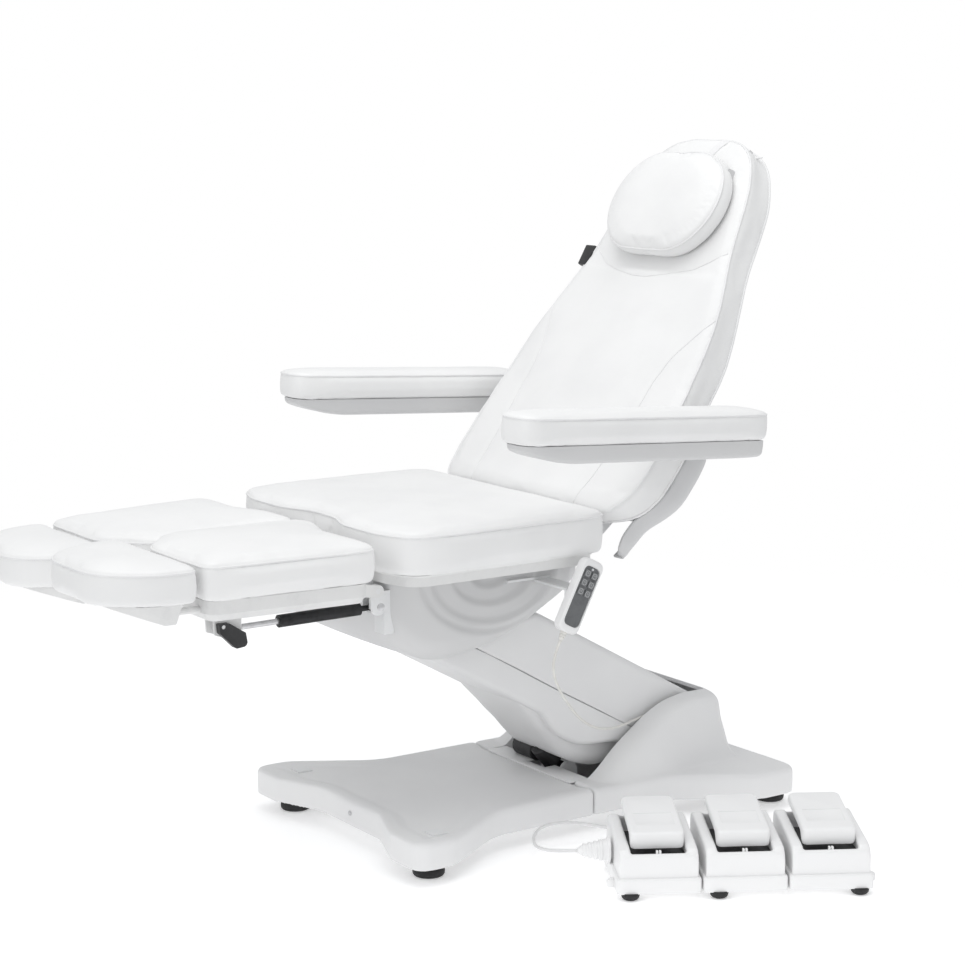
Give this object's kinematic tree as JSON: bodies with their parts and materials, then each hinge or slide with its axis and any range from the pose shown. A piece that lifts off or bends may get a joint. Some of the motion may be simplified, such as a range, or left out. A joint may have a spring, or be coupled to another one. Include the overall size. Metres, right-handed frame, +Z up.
{
  "type": "podiatry chair",
  "caption": "White podiatry chair with split sliding leg rests, reclining back, folding armrests, a scissor-levelled lift arm on a dog-bone base and a floor pedal unit.",
  "frame": {"origin": "on the floor, under the middle of the base", "axes": "+X towards the patient's left, -Y towards the foot end, +Z up"},
  "size_m": [1.1988, 1.4919, 1.2709],
  "materials": {
    "upholstery": "smooth upholstery leather, semi-matt",
    "white_board": "board covered in white vinyl",
    "cover_plastic": "satin pale grey-white moulded plastic",
    "dark_steel": "dark grey paint",
    "white_steel": "white powder coat",
    "foot_rubber": "matt black",
    "black_plastic": "matt black",
    "rod_steel": "ground rod",
    "black_steel": "semi-gloss black",
    "handset_white": "satin white",
    "keypad_grey": "dark grey keypad",
    "beige_cable": "beige cable jacket",
    "white_cable": "white cable jacket",
    "pedal_plastic": "white moulded plastic"
  },
  "bodies": {
    "base": {"base_frame": "white_steel", "front_base_cover": "cover_plastic", "rear_base_cover": "cover_plastic", "rubber_feet": "foot_rubber", "control_box": "black_plastic", "pedal_housing": "pedal_plastic", "pedal_cable": "white_cable"},
    "lift_arm": {"lift_arm_frame": "dark_steel", "arm_top_cover": "cover_plastic", "arm_bottom_cover": "cover_plastic"},
    "levelling_link": {"levelling_link": "dark_steel"},
    "lift_actuator_body": {"lift_actuator_body": "black_plastic"},
    "lift_actuator_rod": {"lift_actuator_rod": "rod_steel"},
    "carriage": {"carriage_frame": "white_steel", "seat_under_cover": "cover_plastic", "handset_body": "handset_white", "handset_panel": "keypad_grey", "handset_cable": "beige_cable"},
    "tilt_actuator_body": {"tilt_actuator_body": "black_plastic"},
    "tilt_actuator_rod": {"tilt_actuator_rod": "rod_steel"},
    "seat": {"seat_frame": "white_steel", "seat_board": "white_board", "seat_cushion": "upholstery"},
    "back_actuator_body": {"back_actuator_body": "black_plastic"},
    "back_actuator_rod": {"back_actuator_rod": "rod_steel"},
    "backrest": {"back_frame": "white_steel", "back_shell": "cover_plastic", "back_cushion": "upholstery"},
    "head_pillow": {"head_pillow": "upholstery"},
    "left_armrest_hub": {"left_armrest_hub": "white_steel"},
    "left_armrest": {"left_armrest_shell": "cover_plastic", "left_armrest_cushion": "upholstery"},
    "left_leg_bracket": {"left_leg_bracket": "white_steel"},
    "left_leg_rest": {"left_leg_board": "white_board", "left_calf_cushion": "upholstery"},
    "left_foot_rest": {"left_foot_board": "white_board", "left_foot_cushion": "upholstery"},
    "left_gas_cylinder": {"left_gas_cylinder": "black_steel"},
    "left_gas_rod": {"left_gas_rod": "rod_steel"},
    "left_release_lever": {"left_release_lever": "black_plastic"},
    "right_armrest_hub": {"right_armrest_hub": "white_steel"},
    "right_armrest": {"right_armrest_shell": "cover_plastic", "right_armrest_cushion": "upholstery"},
    "right_leg_bracket": {"right_leg_bracket": "white_steel"},
    "right_leg_rest": {"right_leg_board": "white_board", "right_calf_cushion": "upholstery"},
    "right_foot_rest": {"right_foot_board": "white_board", "right_foot_cushion": "upholstery"},
    "right_gas_cylinder": {"right_gas_cylinder": "black_steel"},
    "right_gas_rod": {"right_gas_rod": "rod_steel"},
    "right_release_lever": {"right_release_lever": "black_plastic"},
    "key_raise_lift": {"key_raise_lift": "keypad_grey"},
    "key_lower_lift": {"key_lower_lift": "keypad_grey"},
    "key_raise_back": {"key_raise_back": "keypad_grey"},
    "key_lower_back": {"key_lower_back": "keypad_grey"},
    "key_tilt_up": {"key_tilt_up": "keypad_grey"},
    "key_tilt_down": {"key_tilt_down": "keypad_grey"},
    "left_pedal": {"left_pedal": "pedal_plastic"},
    "middle_pedal": {"middle_pedal": "pedal_plastic"},
    "right_pedal": {"right_pedal": "pedal_plastic"}
  },
  "joints": [
    {"name": "lift", "type": "hinge", "parent": "base", "child": "lift_arm", "pos_m": [0, 0.24, 0.16], "axis": [-1, 0, 0], "range_deg": [-8, 30], "deforming": ["handset_cable"]},
    {"name": "carriage_level", "type": "hinge", "parent": "lift_arm", "child": "carriage", "pos_m": [0, -0.29057, 0.4315], "axis": [-1, 0, 0], "range_deg": [-30, 8]},
    {"name": "link_swing", "type": "hinge", "parent": "base", "child": "levelling_link", "pos_m": [-0.043, 0.25822, 0.19561], "axis": [-1, 0, 0], "range_deg": [-8, 30]},
    {"name": "lift_actuator_swing", "type": "hinge", "parent": "base", "child": "lift_actuator_body", "pos_m": [0, 0.06, 0.064], "axis": [-1, 0, 0], "range_deg": [-8.16, 30.62]},
    {"name": "lift_actuator_slide", "type": "slide", "parent": "lift_actuator_body", "child": "lift_actuator_rod", "axis": [0, -0.6602, 0.7511], "range_m": [-0.02832, 0.10591]},
    {"name": "seat_tilt", "type": "hinge", "parent": "carriage", "child": "seat", "pos_m": [0, -0.03, 0.5], "axis": [-1, 0, 0], "range_deg": [0, 12]},
    {"name": "tilt_actuator_swing", "type": "hinge", "parent": "carriage", "child": "tilt_actuator_body", "pos_m": [0.1, -0.19, 0.44], "axis": [-1, 0, 0], "range_deg": [0, 18.35]},
    {"name": "tilt_actuator_slide", "type": "slide", "parent": "tilt_actuator_body", "child": "tilt_actuator_rod", "axis": [0, -0.9553, 0.2957], "range_m": [-0.0001, 0.02525]},
    {"name": "recline", "type": "hinge", "parent": "seat", "child": "backrest", "pos_m": [0, 0, 0.545], "axis": [1, 0, 0], "range_deg": [-60, 12]},
    {"name": "back_actuator_swing", "type": "hinge", "parent": "seat", "child": "back_actuator_body", "pos_m": [-0.1, -0.335, 0.502], "axis": [-1, 0, 0], "range_deg": [-1.23, 0.25]},
    {"name": "back_actuator_slide", "type": "slide", "parent": "back_actuator_body", "child": "back_actuator_rod", "axis": [0, 0.9988, -0.0485], "range_m": [-0.06224, 0.01253]},
    {"name": "pillow_slide", "type": "slide", "parent": "backrest", "child": "head_pillow", "axis": [0, 0.5, 0.866], "range_m": [0, 0.04]},
    {"name": "left_armrest_level", "type": "hinge", "parent": "backrest", "child": "left_armrest_hub", "pos_m": [0.3, 0.18043, 0.72951], "axis": [1, 0, 0], "range_deg": [-12, 60]},
    {"name": "left_armrest_fold", "type": "hinge", "parent": "left_armrest_hub", "child": "left_armrest", "pos_m": [0.39, 0.18043, 0.72951], "axis": [-1, 0, 0], "range_deg": [0, 85]},
    {"name": "right_armrest_level", "type": "hinge", "parent": "backrest", "child": "right_armrest_hub", "pos_m": [-0.3, 0.18043, 0.72951], "axis": [1, 0, 0], "range_deg": [-12, 60]},
    {"name": "right_armrest_fold", "type": "hinge", "parent": "right_armrest_hub", "child": "right_armrest", "pos_m": [-0.39, 0.18043, 0.72951], "axis": [-1, 0, 0], "range_deg": [0, 85]},
    {"name": "left_leg_swivel", "type": "hinge", "parent": "seat", "child": "left_leg_bracket", "pos_m": [0.178, -0.425, 0.516], "axis": [0, 0, 1], "range_deg": [0, 25]},
    {"name": "left_leg_raise", "type": "hinge", "parent": "left_leg_bracket", "child": "left_leg_rest", "pos_m": [0.178, -0.478, 0.516], "axis": [-1, 0, 0], "range_deg": [-80, 5]},
    {"name": "left_foot_slide", "type": "slide", "parent": "left_leg_rest", "child": "left_foot_rest", "axis": [0, -0.9999, 0.014], "range_m": [0, 0.15]},
    {"name": "left_spring_swing", "type": "hinge", "parent": "left_leg_bracket", "child": "left_gas_cylinder", "pos_m": [0.178, -0.473, 0.484], "axis": [-1, 0, 0], "range_deg": [-83.37, 5.21]},
    {"name": "left_spring_slide", "type": "slide", "parent": "left_gas_cylinder", "child": "left_gas_rod", "axis": [0, -1, -0.0063], "range_m": [-0.03922, 0.00254]},
    {"name": "left_release", "type": "hinge", "parent": "left_leg_rest", "child": "left_release_lever", "pos_m": [0.2, -0.78235, 0.49325], "axis": [-1, 0, 0], "range_deg": [0, 20], "stiffness_Nm_per_rad": 0.8, "springref_deg": -11.46},
    {"name": "right_leg_swivel", "type": "hinge", "parent": "seat", "child": "right_leg_bracket", "pos_m": [-0.178, -0.425, 0.516], "axis": [0, 0, -1], "range_deg": [0, 25]},
    {"name": "right_leg_raise", "type": "hinge", "parent": "right_leg_bracket", "child": "right_leg_rest", "pos_m": [-0.178, -0.478, 0.516], "axis": [-1, 0, 0], "range_deg": [-80, 5]},
    {"name": "right_foot_slide", "type": "slide", "parent": "right_leg_rest", "child": "right_foot_rest", "axis": [0, -0.9996, -0.0297], "range_m": [0, 0.15]},
    {"name": "right_spring_swing", "type": "hinge", "parent": "right_leg_bracket", "child": "right_gas_cylinder", "pos_m": [-0.178, -0.473, 0.484], "axis": [-1, 0, 0], "range_deg": [-83.74, 5.23]},
    {"name": "right_spring_slide", "type": "slide", "parent": "right_gas_cylinder", "child": "right_gas_rod", "axis": [0, -0.9988, -0.0493], "range_m": [-0.03843, 0.00249]},
    {"name": "right_release", "type": "hinge", "parent": "right_leg_rest", "child": "right_release_lever", "pos_m": [-0.2, -0.78107, 0.47999], "axis": [-1, 0, 0], "range_deg": [0, 20], "stiffness_Nm_per_rad": 0.8, "springref_deg": -11.46},
    {"name": "press_raise_lift", "type": "slide", "parent": "carriage", "child": "key_raise_lift", "axis": [-1, 0, 0], "range_m": [0, 0.0008], "stiffness_N_per_m": 400, "springref_m": -0.0005},
    {"name": "press_lower_lift", "type": "slide", "parent": "carriage", "child": "key_lower_lift", "axis": [-1, 0, 0], "range_m": [0, 0.0008], "stiffness_N_per_m": 400, "springref_m": -0.0005},
    {"name": "press_raise_back", "type": "slide", "parent": "carriage", "child": "key_raise_back", "axis": [-1, 0, 0], "range_m": [0, 0.0008], "stiffness_N_per_m": 400, "springref_m": -0.0005},
    {"name": "press_lower_back", "type": "slide", "parent": "carriage", "child": "key_lower_back", "axis": [-1, 0, 0], "range_m": [0, 0.0008], "stiffness_N_per_m": 400, "springref_m": -0.0005},
    {"name": "press_tilt_up", "type": "slide", "parent": "carriage", "child": "key_tilt_up", "axis": [-1, 0, 0], "range_m": [0, 0.0008], "stiffness_N_per_m": 400, "springref_m": -0.0005},
    {"name": "press_tilt_down", "type": "slide", "parent": "carriage", "child": "key_tilt_down", "axis": [-1, 0, 0], "range_m": [0, 0.0008], "stiffness_N_per_m": 400, "springref_m": -0.0005},
    {"name": "left_pedal_press", "type": "hinge", "parent": "base", "child": "left_pedal", "pos_m": [0.43332, -0.0656, 0.0972], "axis": [0.5, 0.866, 0], "range_deg": [0, 4], "stiffness_Nm_per_rad": 30, "springref_deg": -4.58},
    {"name": "middle_pedal_press", "type": "hinge", "parent": "base", "child": "middle_pedal", "pos_m": [0.50832, 0.0643, 0.0972], "axis": [0.5, 0.866, 0], "range_deg": [0, 4], "stiffness_Nm_per_rad": 30, "springref_deg": -4.58},
    {"name": "right_pedal_press", "type": "hinge", "parent": "base", "child": "right_pedal", "pos_m": [0.58332, 0.1942, 0.0972], "axis": [0.5, 0.866, 0], "range_deg": [0, 4], "stiffness_Nm_per_rad": 30, "springref_deg": -4.58}
  ],
  "couplings": [
    {"joint": "carriage_level", "follows": "lift", "ratio": -1},
    {"joint": "link_swing", "follows": "lift", "ratio": 1},
    {"joint": "lift_actuator_swing", "follows": "lift", "ratio": 1.0205},
    {"joint": "lift_actuator_slide", "follows": "lift", "m_per_rad": 0.20208},
    {"joint": "tilt_actuator_swing", "follows": "seat_tilt", "ratio": 1.529},
    {"joint": "tilt_actuator_slide", "follows": "seat_tilt", "m_per_rad": 0.1201},
    {"joint": "back_actuator_swing", "follows": "recline", "ratio": 0.0204},
    {"joint": "back_actuator_slide", "follows": "recline", "m_per_rad": 0.05934},
    {"joint": "left_armrest_level", "follows": "recline", "ratio": -1},
    {"joint": "right_armrest_level", "follows": "recline", "ratio": -1},
    {"joint": "left_spring_swing", "follows": "left_leg_raise", "ratio": 1.0421},
    {"joint": "left_spring_slide", "follows": "left_leg_raise", "m_per_rad": 0.02802},
    {"joint": "right_spring_swing", "follows": "right_leg_raise", "ratio": 1.0467},
    {"joint": "right_spring_slide", "follows": "right_leg_raise", "m_per_rad": 0.02745}
  ]
}
